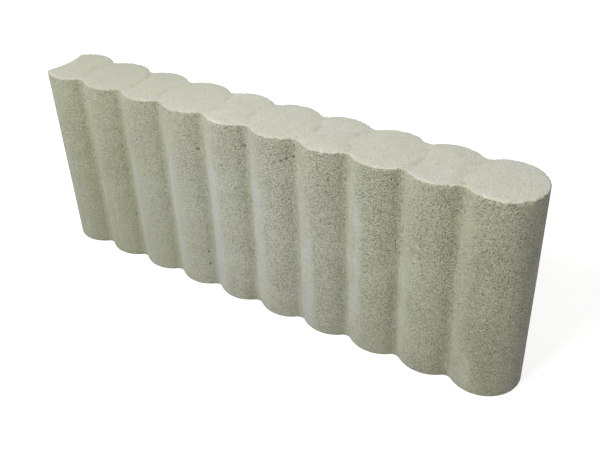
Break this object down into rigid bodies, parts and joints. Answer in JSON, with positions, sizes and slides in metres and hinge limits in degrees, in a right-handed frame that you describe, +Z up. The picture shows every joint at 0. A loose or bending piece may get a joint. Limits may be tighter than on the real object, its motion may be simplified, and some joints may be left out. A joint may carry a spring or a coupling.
{
  "type": "garden edging stone",
  "caption": "Upright scalloped concrete edging stone: a row of merged round lobes with shallow domed tops, a round end and a hollow end that nests on the next stone.",
  "frame": {"origin": "centre of the bounding box in plan, on the flat base", "axes": "+X along the row of lobes towards the round end, +Y across the stone, +Z up"},
  "size_m": [0.5048, 0.066, 0.1965],
  "materials": {
    "concrete": "matt, dry-pressed, finely pitted"
  },
  "bodies": {
    "root": {"edging_stone": "concrete"}
  },
  "joints": []
}
